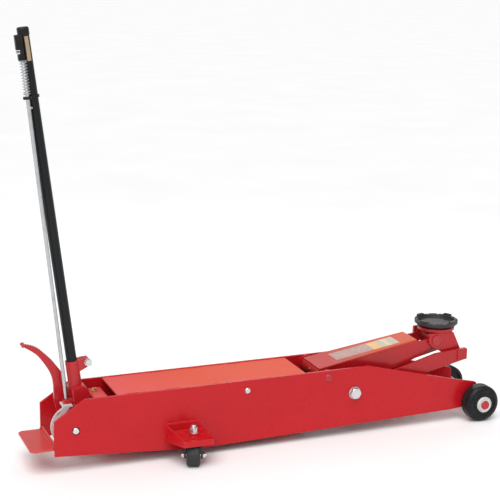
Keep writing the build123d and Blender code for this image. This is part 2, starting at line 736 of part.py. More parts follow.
def release_strap():
    """The rod's foot: a lug, and a curved strap with a slot, concentric with the rear pivot."""
    x, z = REAR_PIVOT
    outer = arc_points(REAR_PIVOT, STRAP_R, 118, 236)
    inner = arc_points(REAR_PIVOT, STRAP_R - 14, 236, 150)
    strap = face_of(*outer, *inner, (x - 33, z + 22), (x - 22, z + 38), (x - 3, z + 62), (x - 27, z + 62))
    slot_outer = arc_points(REAR_PIVOT, STRAP_R - 5, 126, 140)
    slot_inner = arc_points(REAR_PIVOT, STRAP_R - 10, 140, 126)
    strap = across(strap, -46, -41) - across(face_of(*slot_outer, *slot_inner), -60, -30)
    lug = block(x - 26, x + 3, -46, -4, z + 59, z + 64)
    return strap + lug - on_rod(rod_z(0, 0, ROD_R + RUNNING, -30, 30))


def release_knob():
    """The push block at the top of the rod, with a stepped back and a slot for its cross pin."""
    low, high = KNOB_Z
    outline = face_of(
        (-15.4, low + 29),
        (-15.4, high),
        (4.5, high),
        (4.5, low),
        (-12, low),
        (-12, low + 17),
        (-4, low + 17),
        (-4, low + 29),
    )
    body = across(outline, -12, 6)
    body = fillet(body.edges().filter_by(Axis.Z), 2)
    body -= rod_z(0, 0, ROD_R + RUNNING, low - 1, 1015.05)
    return on_rod(body)


def knob_pin():
    return on_rod(rod_x(-16, -ROD_R - 0.05, 0, KNOB_Z[0] + 23, 3))


def release_spring():
    low = CLIP_Z[1] + 2.2
    high = KNOB_Z[0] - 1.8
    return on_rod(coil((0, 0, low), (0, 0, high), 9.4, 1.3, 13))


def release_lever():
    """The valve's lever. Its curved shoe lies just under the strap, which turns it when the rod goes down."""
    spindle = (152, 88)
    shoe_in = STRAP_R + 1.6
    shoe = face_of(*arc_points(REAR_PIVOT, shoe_in, 218, 240), *arc_points(REAR_PIVOT, shoe_in + 5, 240, 218))
    reach = [(24, 76.5), (60, 74), (140, 80), (152, 78), (160, 88), (152, 98), (60, 84), (14, 86), (12, 84)]
    lever = across(face_of(*reach) + disc_at(spindle, 10), -56, -50.1)
    return lever + across(shoe, -56, -39) + rod_y(spindle, 6, -60, -48.1)


def pedal():
    """A horn-shaped foot pedal on the rear pivot, with a small turned pad at its tip."""
    x, z = REAR_PIVOT
    rear = [(-62, 366), (-41, 352), (-21.5, 336), (-4.8, 314), (9.4, 291.7), (21.3, 264.7), (25.6, 238.4)]
    rear += [(26.5, 200), (34, 160)]
    front = [(61, 165), (61.5, 208.5), (58.4, 247.6), (51.4, 274.4), (37.1, 296.4), (20.2, 319)]
    front += [(-1.6, 341.6), (-21, 359), (-40.5, 368.3), (-62, 373)]
    base = Polyline(rear[-1], (x - 22, z + 10), (x + 21, z + 11), front[0])
    horn = make_face(Spline(*rear) + base + Spline(*front) + Line(front[-1], rear[0]))
    grip = Spline(*front)
    for i in range(14):
        notch = grip @ (0.56 + 0.03 * i)
        horn -= Pos(notch.X, notch.Y) * Circle(2.2)
    plate = across(horn + disc_at(REAR_PIVOT, 24), 11, 23)
    pad = Pos(-62, 17, 370.5) * (Rot(0, -20, 0) * Box(12, 34, 5))
    pad = fillet(pad.edges().filter_by(Axis.Y), 2)
    return plate + pad - rod_y(REAR_PIVOT, 10 + RUNNING, 0, 40) - rod_y(PEDAL_BOLT, 5 + RUNNING, 0, 40)


def pieces():
    """Every node of the jack by name, still in the building frame."""
    plate = side_plate()
    bracket = caster_bracket()
    nodes = {
        "side_plate_right": plate,
        "side_plate_left": other_side(plate),
        "top_cover": block(*DECK_X, -TIE_HALF, TIE_HALF, PLATE_TOP - 1 - DECK_T, PLATE_TOP - 1),
        "rear_foot_plate": rear_foot_plate(),
        "frame_ties": frame_ties(),
        "pivot_bosses": pivot_bosses(),
        "rear_pivot_shaft": capped_shaft(REAR_PIVOT, 10, 97.5, 2.5),
        "spring_anchor_pin": capped_shaft(SPRING_PIN, 9, 97.5, 2),
        "lift_pivot_shaft": capped_shaft(LIFT_PIVOT, LIFT_SHAFT_R, 98, 3),
        "link_bolts": link_bolts(),
        "front_axle": front_axle(),
        "axle_retainers": axle_retainers(),
        "caster_brackets": both_sides(bracket),
        "caster_kingpins": both_sides(caster_kingpin()),
        "caster_nuts": both_sides(caster_nut()),
        "pump_block": pump_block(),
        "reservoir_head": reservoir_head(),
        "pump_plugs": pump_plugs(),
        "pressure_cylinder": cylinder_shell(34, 26, 250.05, 720),
        "reservoir_tube": cylinder_shell(60, 56, 250.05, 720),
        "cylinder_gland": cylinder_gland(),
        "return_springs": return_springs(),
        "pump_spring": pump_spring(),
        "arm_plates": both_sides(arm_plate()),
        "arm_cover": arm_cover(),
        "arm_hub_tube": tube_y(LIFT_PIVOT, HUB_R, LIFT_SHAFT_R + RUNNING, -80, 80),
        "arm_braces": arm_braces(),
        "lift_heel": lift_heel(),
        "grease_nipple": grease_nipple(),
        "link_plates": link_plates(),
        "carrier_frame": carrier_frame(),
        "carrier_cup": carrier_cup(),
        "carrier_pins": carrier_pins(),
        "saddle": saddle(),
        "ram": ram(),
        "ram_crosshead": ram_crosshead(),
        "pump_piston": pump_piston(),
        "handle_socket": handle_socket(),
        "clamp_bolt": clamp_bolt(),
        "pedal_bolt": pedal_bolt(),
        "handle_tube": handle_tube(),
        "handle_cap": handle_cap(),
        "rod_clip": rod_clip(),
        "release_rod": release_rod(),
        "release_strap": release_strap(),
        "release_knob": release_knob(),
        "knob_pin": knob_pin(),
        "release_spring": release_spring(),
        "release_lever": release_lever(),
        "pedal": pedal(),
    }
    handed = {
        "front_wheel": front_wheel(),
        "wheel_bush": wheel_bush(),
        "caster_fork": caster_fork(),
        "caster_axle": caster_axle(),
        "caster_wheel": caster_wheel(),
    }
    for name, shape in handed.items():
        nodes[name + "_right"] = shape
        nodes[name + "_left"] = other_side(shape)
    return nodes


def placed(shape):
    """A piece's solids, moved so that X is zero at the middle of the jack."""
    solids = [Pos(-CENTRE_X, 0, 0) * solid for solid in shape.solids()]
    return solids[0] if len(solids) == 1 else Compound(solids)


def main():
    os.makedirs("parts", exist_ok=True)
    for name, shape in pieces().items():
        export_step(placed(shape), f"parts/{name}.step")


if __name__ == "__main__":
    main()
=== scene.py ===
"""Looks for the trolley jack: paints, metals, springs, welds, labels, studio and camera.

Lengths are millimetres in the building frame of the CAD model. at() turns them into metres in the frame
whose X is zero at the middle of the jack.
"""

import json
import math

import bmesh
import bpy
from mathutils import Matrix, Vector


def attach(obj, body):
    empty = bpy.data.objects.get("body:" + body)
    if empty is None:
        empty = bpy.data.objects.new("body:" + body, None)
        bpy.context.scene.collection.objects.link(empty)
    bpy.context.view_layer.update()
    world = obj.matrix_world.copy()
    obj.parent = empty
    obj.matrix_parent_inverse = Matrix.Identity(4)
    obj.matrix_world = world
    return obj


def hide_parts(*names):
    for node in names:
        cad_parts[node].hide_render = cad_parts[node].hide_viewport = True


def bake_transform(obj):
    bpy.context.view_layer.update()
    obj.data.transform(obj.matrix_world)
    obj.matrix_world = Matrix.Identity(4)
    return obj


CENTRE_X = 705.0

# Places from part.py, in its own millimetres and axes
HANDLE_LEAN = math.radians(7.0)
HANDLE_FOOT_X, HANDLE_FOOT_Z = 92.5, 200
ROD_LEAN = math.radians(5.9)
ROD_FOOT_X, ROD_Y, ROD_FOOT_Z = 55.9, -21, 200
ARM_RISE = math.radians(10.236)
ARM_PIVOT_X, ARM_PIVOT_Z = 877, 198
KINGPIN_X, KINGPIN_Y = 409, 150
PISTON_AXIS_Z = 97
SPRING_ANCHOR = (602.8, 188.7)
CROSSHEAD_PIN = (805.0, 147.0)
RETURN_SPRING_Y = 75
BRACKET_FACE = 96.4
BRACKET_TOP = 88.6
DECK_EDGE_Y, DECK_WELD_Z = 86.2, 219.8
DECK_WELDS = (215, 345, 475, 605, 735)
DECK_WELD_LENGTH = 42

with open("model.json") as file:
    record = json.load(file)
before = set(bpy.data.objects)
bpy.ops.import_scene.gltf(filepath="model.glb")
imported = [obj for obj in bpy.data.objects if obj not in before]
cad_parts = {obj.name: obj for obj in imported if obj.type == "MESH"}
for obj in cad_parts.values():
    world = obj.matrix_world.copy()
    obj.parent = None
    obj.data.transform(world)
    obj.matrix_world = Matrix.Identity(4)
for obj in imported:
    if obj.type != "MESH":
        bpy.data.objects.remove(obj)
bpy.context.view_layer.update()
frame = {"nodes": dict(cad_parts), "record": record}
NODES = frame["nodes"]


def at(x, y, z):
    """A point of the building frame, in metres."""
    return Vector(((x - CENTRE_X) / 1000, y / 1000, z / 1000))


# ---------------------------------------------------------------- materials


class Paint:
    """A procedural material under construction. Texture lengths are in metres of object space."""

    def __init__(self, name):
        self.material = bpy.data.materials.new(name)
        self.material.use_nodes = True
        self.tree = self.material.node_tree
        self.shader = self.tree.nodes["Principled BSDF"]
        self.coords = self.tree.nodes.new("ShaderNodeTexCoord").outputs["Object"]

    def node(self, kind, inputs=None, **settings):
        made = self.tree.nodes.new(kind)
        for name, value in settings.items():
            setattr(made, name, value)
        for name, value in (inputs or {}).items():
            self.put(made.inputs[name], value)
        return made

    def put(self, socket, value):
        if isinstance(value, bpy.types.NodeSocket):
            self.tree.links.new(value, socket)
        else:
            socket.default_value = value

    def noise(self, size, detail=3.0, stretch=(1, 1, 1), rough=0.5):
        """Noise whose blobs are about this size."""
        scaled = self.node("ShaderNodeMapping", {"Vector": self.coords, "Scale": stretch})
        made = self.node(
            "ShaderNodeTexNoise",
            {"Vector": scaled.outputs[0], "Scale": 1 / size, "Detail": detail, "Roughness": rough},
        )
        return made.outputs[0]

    def cells(self, size, feature="F1"):
        made = self.node("ShaderNodeTexVoronoi", {"Vector": self.coords, "Scale": 1 / size}, feature=feature)
        return made.outputs["Distance"]

    def along(self, axis):
        split = self.node("ShaderNodeSeparateXYZ", {"Vector": self.coords})
        return split.outputs[axis]

    def between(self, value, low, high, to_low=0.0, to_high=1.0):
        made = self.node(
            "ShaderNodeMapRange",
            {"Value": value, "From Min": low, "From Max": high, "To Min": to_low, "To Max": to_high},
        )
        return made.outputs[0]

    def math(self, operation, a, b=0.0, clamped=None):
        """A maths node. Products and sums stay between 0 and 1 unless clamped is False."""
        made = self.node("ShaderNodeMath", operation=operation)
        made.use_clamp = operation in ("MULTIPLY", "ADD") if clamped is None else clamped
        self.put(made.inputs[0], a)
        self.put(made.inputs[1], b)
        return made.outputs[0]

    def mix(self, factor, a, b):
        made = self.node("ShaderNodeMix", data_type="RGBA")
        self.put(made.inputs[0], factor)
        self.put(made.inputs[6], a if isinstance(a, bpy.types.NodeSocket) else (*a, 1))
        self.put(made.inputs[7], b if isinstance(b, bpy.types.NodeSocket) else (*b, 1))
        return made.outputs[2]

    def edges(self, radius, low=0.02, high=0.25):
        """1 along convex and concave edges within this radius, 0 on flat faces."""
        rounded = self.node("ShaderNodeBevel", {"Radius": radius}, samples=4).outputs[0]
        flat = self.tree.nodes.new("ShaderNodeNewGeometry").outputs["Normal"]
        dot = self.node("ShaderNodeVectorMath", operation="DOT_PRODUCT")
        self.put(dot.inputs[0], rounded)
        self.put(dot.inputs[1], flat)
        return self.between(dot.outputs["Value"], 1 - low, 1 - high)

    def facing_up(self, low=0.3, high=0.95):
        normal = self.tree.nodes.new("ShaderNodeNewGeometry").outputs["Normal"]
        split = self.node("ShaderNodeSeparateXYZ", {"Vector": normal})
        return self.between(split.outputs["Z"], low, high)

    def surface(self, colour, roughness, height=None, bump=0.1, depth=0.001, round_edges=0.0012, **sockets):
        """Feeds the shader. Plain numbers for other sockets are set on the shader itself."""
        self.put(self.shader.inputs["Base Color"], colour)
        self.put(self.shader.inputs["Roughness"], roughness)
        rounded = self.node("ShaderNodeBevel", {"Radius": round_edges}, samples=6).outputs[0]
        if height is not None:
            inputs = {"Strength": bump, "Distance": depth, "Height": height, "Normal": rounded}
            rounded = self.node("ShaderNodeBump", inputs).outputs[0]
        self.put(self.shader.inputs["Normal"], rounded)
        for name, value in sockets.items():
            self.shader.inputs[name.replace("_", " ")].default_value = value
        return self.material


def enamel(name, colour, wear_and_edge_highlight=0.35, rough=0.26, cast=0.0, coat=0.2, shine=0.35, front=None, run=(-0.52, 0.1)):
    """Sprayed gloss enamel: slight orange peel, a thin painted highlight along the edges with a few dark wear
    chips, a little dust on top.

    With a front colour, the colour changes slowly to it along X over the run, in metres; on the deck and the
    cover this is painted light.
    """
    paint = Paint(name)
    film = paint.noise(0.16, detail=3)
    deep = tuple(c * 0.96 for c in colour)
    light = tuple(min(1.0, c * 1.03 + 0.001) for c in colour)
    base = paint.mix(paint.between(film, 0.3, 0.7), deep, light)
    # On the deck and the cover this gradient along X is painted light: painted glare and reflection on their
    # lit tops.
    if front:
        base = paint.mix(paint.between(paint.along("X"), *run), base, front)
    speck = paint.between(paint.noise(0.0035, detail=5), 0.5, 0.64)
    patches = paint.between(paint.noise(0.035, detail=3), 0.42, 0.66)
    chips = paint.math("MULTIPLY", paint.edges(0.0016, 0.03, 0.2), paint.math("MULTIPLY", speck, patches))
    # A paler tint along the edges is a painted highlight; the same strength also sets the dark wear chips.
    edge_highlight = paint.math("MULTIPLY", paint.edges(0.004, 0.01, 0.3), wear_and_edge_highlight)
    highlight_tint = tuple(min(1.0, c * 1.25 + 0.05) for c in colour)
    base = paint.mix(edge_highlight, base, highlight_tint)
    base = paint.mix(paint.math("MULTIPLY", chips, wear_and_edge_highlight), base, (0.17, 0.15, 0.14))
    dust = paint.between(paint.noise(0.05, detail=6), 0.5, 0.8, 0.0, 0.1)
    dust = paint.math("MULTIPLY", paint.facing_up(), dust)
    base = paint.mix(dust, base, (0.55, 0.34, 0.27))
    peel = paint.noise(0.0028, detail=2)
    if cast:
        peel = paint.math("ADD", peel, paint.math("MULTIPLY", paint.noise(0.0012, detail=6), cast))
    roughness = paint.between(paint.noise(0.05, detail=4), 0.2, 0.85, rough - 0.03, rough + 0.08)
    return paint.surface(
        base,
        roughness,
        peel,
        bump=0.03 + 0.35 * cast,
        depth=0.0006,
        Coat_Weight=coat,
        Coat_Roughness=0.09,
        Specular_IOR_Level=shine,
    )


def steel(name, colour, rough=0.3, brushed=(1, 1, 1), tarnish=(0.30, 0.27, 0.24), amount=0.35, metal=1.0):
    """Plated or ground steel: fine tool marks, dull patches, and lighter edges and creases."""
    paint = Paint(name)
    marks = paint.noise(0.0016, detail=3, stretch=brushed)
    patch = paint.between(paint.noise(0.02, detail=6), 0.45, 0.75, 0.0, amount)
    base = paint.mix(paint.between(marks, 0.3, 0.7), tuple(c * 0.86 for c in colour), colour)
    base = paint.mix(patch, base, tarnish)
    bright = tuple(min(1, c * 1.15) for c in colour)
    base = paint.mix(paint.math("MULTIPLY", paint.edges(0.002), 0.4), base, bright)
    roughness = paint.between(paint.noise(0.012, detail=5), 0.25, 0.8, rough - 0.07, rough + 0.16)
    return paint.surface(base, roughness, marks, bump=0.12, depth=0.0003, round_edges=0.0006, Metallic=metal)


def moulded(name, colour, rough=0.5, scuff=(0.16, 0.16, 0.165), dusty=0.3, bump=0.16, shine=0.45):
    """Moulded plastic or rubber: a fine grain, scuffed edges and dust in the upper surfaces."""
    paint = Paint(name)
    skin = paint.noise(0.0011, detail=4)
    cloud = paint.between(paint.noise(0.025, detail=5), 0.35, 0.75)
    base = paint.mix(cloud, tuple(c * 0.75 for c in colour), tuple(c * 1.35 + 0.004 for c in colour))
    patchy = paint.between(paint.noise(0.006, detail=5), 0.4, 0.7)
    rubbed = paint.math("MULTIPLY", paint.edges(0.0025), patchy)
    base = paint.mix(paint.math("MULTIPLY", rubbed, 0.7), base, scuff)
    dust = paint.between(paint.noise(0.018, detail=6), 0.45, 0.8, 0.0, dusty)
    dust = paint.math("MULTIPLY", paint.facing_up(), dust)
    base = paint.mix(dust, base, (0.20, 0.185, 0.17))
    roughness = paint.between(paint.noise(0.01, detail=4), 0.25, 0.8, rough - 0.1, rough + 0.15)
    look = {"bump": bump, "depth": 0.0005, "round_edges": 0.001, "Specular_IOR_Level": shine}
    return paint.surface(base, roughness, skin, **look)


def casting(name, colour, rough=0.55, warm=(0.07, 0.05, 0.04), metal=0.0):
    """Dark forged or cast iron: coarse scale, fine pits, warm tinted patches and lighter edges."""
    paint = Paint(name)
    scale = paint.noise(0.004, detail=8, rough=0.65)
    pits = paint.cells(0.0022)
    deep, light = tuple(c * 0.6 for c in colour), tuple(c * 1.6 for c in colour)
    base = paint.mix(paint.between(scale, 0.35, 0.7), deep, light)
    base = paint.mix(paint.between(paint.noise(0.03, detail=5), 0.45, 0.75, 0.0, 0.6), base, warm)
    edge = paint.math("MULTIPLY", paint.edges(0.003), paint.between(paint.noise(0.005, detail=5), 0.35, 0.65))
    base = paint.mix(paint.math("MULTIPLY", edge, 0.75), base, (0.22, 0.21, 0.20))
    height = paint.math("ADD", paint.math("MULTIPLY", scale, 0.7), paint.math("MULTIPLY", pits, 0.3))
    roughness = paint.between(scale, 0.25, 0.8, rough - 0.12, rough + 0.15)
    return paint.surface(base, roughness, height, bump=0.3, depth=0.0009, round_edges=0.0015, Metallic=metal)


def threaded(name, colour, axis, low, high, pitch=0.00175):
    """Plated steel with a screw thread between two heights along an axis."""
    paint = Paint(name)
    run = paint.along(axis)
    inside = paint.math("MULTIPLY", paint.math("GREATER_THAN", run, low), paint.math("LESS_THAN", run, high))
    turns = paint.math("MULTIPLY", run, 2 * math.pi / pitch, clamped=False)
    wave = paint.between(paint.math("SINE", turns), -1, 1)
    ridge = paint.math("MULTIPLY", wave, inside)
    # The thread's grooves are darkened: painted shade in them.
    groove_shade = paint.math("MULTIPLY", paint.math("SUBTRACT", inside, ridge), 0.6)
    base = paint.mix(groove_shade, colour, (0.16, 0.15, 0.14))
    patch = paint.between(paint.noise(0.01, detail=5), 0.45, 0.75, 0.0, 0.3)
    base = paint.mix(patch, base, (0.35, 0.33, 0.30))
    roughness = paint.between(paint.noise(0.006, detail=4), 0.3, 0.7, 0.22, 0.42)
    return paint.surface(base, roughness, ridge, bump=0.9, depth=0.0008, round_edges=0.0006, Metallic=1.0)


RED = (0.52, 0.008, 0.014)
MATERIALS = {
    "frame_red": enamel("frame_enamel", RED, coat=0.1, shine=0.22),
    # The deck is a lighter, more orange copy of the frame red, painted light from above: a salmon painted
    # glare at the rear turning orange towards the front.
    "deck_red": enamel(
        "deck_enamel_painted_light",
        (0.72, 0.09, 0.085),
        wear_and_edge_highlight=0.2,
        rough=0.36,
        coat=0.0,
        shine=0.12,
        front=(0.67, 0.052, 0.008),
        run=(-0.52, -0.25),
    ),
    # The foot plate's lighter pinkish red is a painted highlight, and so are its pale edges.
    "step_red": enamel("step_enamel_painted_highlight", (0.58, 0.06, 0.055), wear_and_edge_highlight=0.9, rough=0.34, shine=0.25),
    # A darker copy of the frame red: painted shade on the arm's sides.
    "arm_red": enamel("arm_enamel_painted_shade", (0.44, 0.008, 0.013)),
    # The cover's orange front is painted light on its lit top, and its pale edges a painted highlight on the
    # rolled nose.
    "cover_red": enamel(
        "cover_enamel_painted_light",
        (0.46, 0.02, 0.016),
        wear_and_edge_highlight=0.9,
        rough=0.34,
        coat=0.0,
        shine=0.12,
        front=(0.58, 0.07, 0.012),
        run=(0.2, 0.5),
    ),
    "socket_red": enamel("socket_enamel", (0.48, 0.012, 0.018), cast=0.35, wear_and_edge_highlight=0.3),
    "casting_red": enamel("casting_enamel", (0.50, 0.03, 0.03), cast=0.6, rough=0.4, coat=0.2),
    "shaft_red": enamel("shaft_enamel", (0.44, 0.018, 0.03), wear_and_edge_highlight=0.7),
    "bright_steel": steel("bright_steel", (0.80, 0.80, 0.80), rough=0.26),
    "zinc_steel": steel("zinc_steel", (0.74, 0.75, 0.77), rough=0.32, tarnish=(0.42, 0.38, 0.25)),
    "spring_steel": steel("spring_steel", (0.62, 0.63, 0.65), rough=0.3),
    "chrome_rod": steel("chrome_rod", (0.86, 0.86, 0.88), rough=0.14, brushed=(0.05, 1, 1), amount=0.1),
    "brass": steel("brass", (0.74, 0.53, 0.22), rough=0.3, tarnish=(0.30, 0.19, 0.08)),
    "forged_iron": casting("forged_iron", (0.075, 0.075, 0.08), metal=0.4),
    "saddle_black": casting("saddle_iron", (0.02, 0.016, 0.019), rough=0.5, warm=(0.05, 0.03, 0.026)),
    "handle_black": enamel("handle_enamel", (0.006, 0.007, 0.008), wear_and_edge_highlight=0.3, rough=0.3, coat=0.1, shine=0.2),
    "black_plastic": moulded("black_plastic", (0.007, 0.007, 0.008), rough=0.42, shine=0.25),
    "wheel_tread": moulded("wheel_polymer", (0.008, 0.009, 0.01), rough=0.36, dusty=0.12, shine=0.22),
    "bush_white": moulded("bush_nylon", (0.62, 0.62, 0.60), rough=0.4, scuff=(0.4, 0.38, 0.35), dusty=0.2),
    "fork_black": enamel("fork_enamel", (0.011, 0.011, 0.013), wear_and_edge_highlight=0.5, rough=0.32),
    "caster_rubber": moulded("caster_rubber", (0.018, 0.018, 0.02), rough=0.6, dusty=0.45),
}
SPECIAL = {
    "caster_kingpins": threaded("kingpin_thread", (0.74, 0.74, 0.75), "Z", 0.1152, 0.1215),
    "carrier_pins": MATERIALS["shaft_red"],
    "release_rod": steel("rod_steel", (0.56, 0.58, 0.60), rough=0.24, brushed=(1, 1, 0.05)),
    "release_strap": steel("strap_zinc", (0.84, 0.82, 0.83), rough=0.42, amount=0.15, metal=0.35),
}
SLOT_OF = {entry["node"]: entry["material_slot"] for entry in frame["record"]["subparts"]}


def dress(obj, material):
    obj.data.materials.clear()
    obj.data.materials.append(material)


for name, node in NODES.items():
    dress(node, SPECIAL.get(name, MATERIALS[SLOT_OF[name]]))


# ---------------------------------------------------------------- added pieces


def mesh_object(name, shape, slot, body=None, material=None, smooth=True):
    """Makes an object from a bmesh, gives it a material, the slot's own unless one is given, and lets it ride
    on a body.
    """
    data = bpy.data.meshes.new(name)
    bmesh.ops.recalc_face_normals(shape, faces=shape.faces)
    shape.to_mesh(data)
    shape.free()
    obj = bpy.data.objects.new(name, data)
    bpy.context.scene.collection.objects.link(obj)
    for polygon in data.polygons:
        polygon.use_smooth = smooth
    dress(obj, material or MATERIALS[slot])
    if body:
        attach(obj, body)
    return obj


def sweep(shape, path, radius, sides=8, closed=False, ripple=0.0, ripple_length=0.0045):
    """Adds a round bar along a path of points to a bmesh. A ripple makes it look like a weld bead."""
    count = len(path)
    rings = []
    side = None
    travelled = 0.0
    for i, point in enumerate(path):
        ahead = path[(i + 1) % count] if closed or i < count - 1 else path[i]
        behind = path[i - 1] if closed or i > 0 else path[i]
        heading = (ahead - behind).normalized()
        if side is None:
            side = heading.orthogonal().normalized()
        side = (side - heading * side.dot(heading)).normalized()
        other = heading.cross(side)
        travelled += (point - path[i - 1]).length if i else 0.0
        swell = 1 + ripple * abs(math.sin(math.pi * travelled / ripple_length))
        ring = []
        for k in range(sides):
            turn = 2 * math.pi * k / sides
            spoke = side * math.cos(turn) + other * math.sin(turn)
            ring.append(shape.verts.new(point + spoke * radius * swell))
        rings.append(ring)
    for i in range(count if closed else count - 1):
        first, second = rings[i], rings[(i + 1) % count]
        for k in range(sides):
            shape.faces.new((first[k], first[(k + 1) % sides], second[(k + 1) % sides], second[k]))
    if not closed:
        shape.faces.new(reversed(rings[0]))
        shape.faces.new(rings[-1])


def coil_path(start, end, radius, turns, closed_turns=1.0, steps=20):
    """A helix with its end turns wound close together, as a spring's are."""
    axis = (end - start)
    length = axis.length
    axis.normalize()
    side = axis.orthogonal().normalized()
    other = axis.cross(side)
    total = turns + 2 * closed_turns
    points = []
    dead = closed_turns * 0.0032
    for i in range(int(total * steps) + 1):
        turn = i / steps
        if turn < closed_turns:
            run = dead * turn / closed_turns
        elif turn > total - closed_turns:
            run = length - dead * (total - turn) / closed_turns
        else:
            run = dead + (length - 2 * dead) * (turn - closed_turns) / turns
        angle = 2 * math.pi * turn
        points.append(start + axis * run + (side * math.cos(angle) + other * math.sin(angle)) * radius)
    return points


def spring_between(name, node, start, end, radius, wire, turns):
    shape = bmesh.new()
    sweep(shape, coil_path(start, end, radius, turns), wire, sides=10)
    spring = mesh_object(name, shape, "spring_steel")
    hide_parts(node)
    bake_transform(spring)


def rod_point(height):
    """A point on the release rod's axis, this far up it."""
    return at(ROD_FOOT_X - height * math.sin(ROD_LEAN), ROD_Y, ROD_FOOT_Z + height * math.cos(ROD_LEAN))


def tube_point(height, turn, radius):
    """A point this far up the handle tube, this far round it from the front and this far from its axis."""
    out = radius * math.cos(turn)
    return at(
        HANDLE_FOOT_X - height * math.sin(HANDLE_LEAN) + out * math.cos(HANDLE_LEAN),
        radius * math.sin(turn),
        HANDLE_FOOT_Z + height * math.cos(HANDLE_LEAN) + out * math.sin(HANDLE_LEAN),
    )


def add_springs():
    """The knob's, the piston's and the ram's springs, wound in place of their plain CAD solids."""
    low, high = rod_point(908.5), rod_point(1002.5)
    spring_between("knob_spring", "release_spring", low, high, 0.0094, 0.0013, 11)
    still, driven = at(138.6, 0, PISTON_AXIS_Z), at(95.2, 0, PISTON_AXIS_Z)
    spring_between("piston_spring", "pump_spring", still, driven, 0.0114, 0.0013, 3)
    shape = bmesh.new()
    rear, front = SPRING_ANCHOR, CROSSHEAD_PIN
    run = Vector((front[0] - rear[0], 0, front[1] - rear[1])).normalized() * 1000
    for y in (-RETURN_SPRING_Y, RETURN_SPRING_Y):
        start = at(rear[0], y, rear[1]) + run * 0.0000145
        end = at(front[0], y, front[1]) - run * 0.0000115
        sweep(shape, coil_path(start, end, 0.008, 26, closed_turns=2.0), 0.0018, sides=10)
        for centre, reach in ((rear, 0.0118), (front, 0.0088)):
            turns = [2 * math.pi * i / 28 for i in range(28)]
            middle = at(centre[0], y, centre[1])
            loop = [middle + Vector((math.cos(a), 0, math.sin(a))) * reach for a in turns]
            sweep(shape, loop, 0.0018, sides=10, closed=True)
    springs = mesh_object("ram_return_springs", shape, "spring_steel")
    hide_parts("return_springs")
    still, driven = at(rear[0] + 20, 0, rear[1]), at(front[0] - 18, 0, front[1])
    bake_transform(springs)


def line(start, end, step=0.0011):
    count = max(2, int((end - start).length / step))
    return [start.lerp(end, i / count) for i in range(count + 1)]


def ring_z(x, y, z, radius, count=72):
    turns = [2 * math.pi * i / count for i in range(count)]
    return [at(x + radius * math.cos(a), y + radius * math.sin(a), z) for a in turns]


def add_welds():
    """Fillet welds where the brackets, foot plate and deck meet the side plates."""
    shape = bmesh.new()
    for side in (-1, 1):
        for start, end in (
            ((337, BRACKET_FACE, 114.6), (458, BRACKET_FACE, 114.6)),
            ((334.6, BRACKET_FACE, 62), (334.6, BRACKET_FACE, 112)),
            ((460.6, BRACKET_FACE, 64), (460.6, BRACKET_FACE, 112)),
            ((344, 101.8, BRACKET_TOP), (458, 101.8, BRACKET_TOP)),
        ):
            path = line(at(start[0], side * start[1], start[2]), at(end[0], side * end[1], end[2]))
            sweep(shape, path, 0.0026, ripple=0.22)
        boss = ring_z(KINGPIN_X, side * KINGPIN_Y, BRACKET_TOP, 14.6)
        sweep(shape, boss, 0.0022, closed=True, ripple=0.2)
        for x in DECK_WELDS:
            ends = (x, x + DECK_WELD_LENGTH)
            path = line(*(at(end, side * DECK_EDGE_Y, DECK_WELD_Z) for end in ends))
            sweep(shape, path, 0.0022, ripple=0.25)
        sweep(shape, line(at(-0.6, side * 88, 79), at(-0.6, side * 91, 79)), 0.0022, ripple=0.2)
    mesh_object("frame_welds", shape, "frame_red", "frame")


def arm_point(s, y, n):
    """A point given along, across and above the lifting arm's centre line, in millimetres."""
    x = ARM_PIVOT_X + s * math.cos(ARM_RISE) - n * math.sin(ARM_RISE)
    return at(x, y, ARM_PIVOT_Z + s * math.sin(ARM_RISE) + n * math.cos(ARM_RISE))


def cover_top(s):
    """The height of the tapered cover above the arm's centre line, this far along it."""
    return 26 - (s + 15) * 6.5 / 357


def thin_patch(name, outline, slot, body, material, smooth=False):
    """A sticker from pairs of points on its upper and lower side, in order round its edge."""
    shape = bmesh.new()
    top = [shape.verts.new(upper) for upper, lower in outline]
    low = [shape.verts.new(lower) for upper, lower in outline]
    shape.faces.new(top)
    shape.faces.new(reversed(low))
    for i in range(len(top)):
        k = (i + 1) % len(top)
        shape.faces.new((low[i], low[k], top[k], top[i]))
    return mesh_object(name, shape, slot, body, material, smooth)


def add_arm_label(s_range, half_width, material, corner=3.0):
    """A thin sticker with round corners that lies on the arm's cover."""
    s_low, s_high = s_range
    corners = (
        (s_high - corner, half_width - corner, 0),
        (s_low + corner, half_width - corner, 90),
        (s_low + corner, corner - half_width, 180),
        (s_high - corner, corner - half_width, 270),
    )
    outline = []
    for s_centre, y_centre, start in corners:
        for step in range(6):
            turn = math.radians(start + 18 * step)
            s = s_centre + corner * math.cos(turn)
            y = y_centre + corner * math.sin(turn)
            outline.append((arm_point(s, y, cover_top(s) + 0.25), arm_point(s, y, cover_top(s) + 0.02)))
    return thin_patch("arm_label", outline, "cover_red", "lift_arm", material)


def add_tube_strip(heights, turns, material):
    """A plain strip stuck on the right side of the handle tube, just under its cap."""
    shape = bmesh.new()
    steps = 10
    columns = []
    for i in range(steps + 1):
        turn = math.radians(turns[0] + (turns[1] - turns[0]) * i / steps)
        outside = [tube_point(height, turn, 16.0) for height in heights]
        inside = [tube_point(height, turn, 15.78) for height in reversed(heights)]
        columns.append([shape.verts.new(point) for point in outside + inside])
    for first, second in zip(columns, columns[1:]):
        for k in range(4):
            m = (k + 1) % 4
            shape.faces.new((first[k], first[m], second[m], second[k]))
    shape.faces.new(columns[0])
    shape.faces.new(reversed(columns[-1]))
    mesh_object("tube_strip", shape, "bush_white", "handle", material, smooth=False)


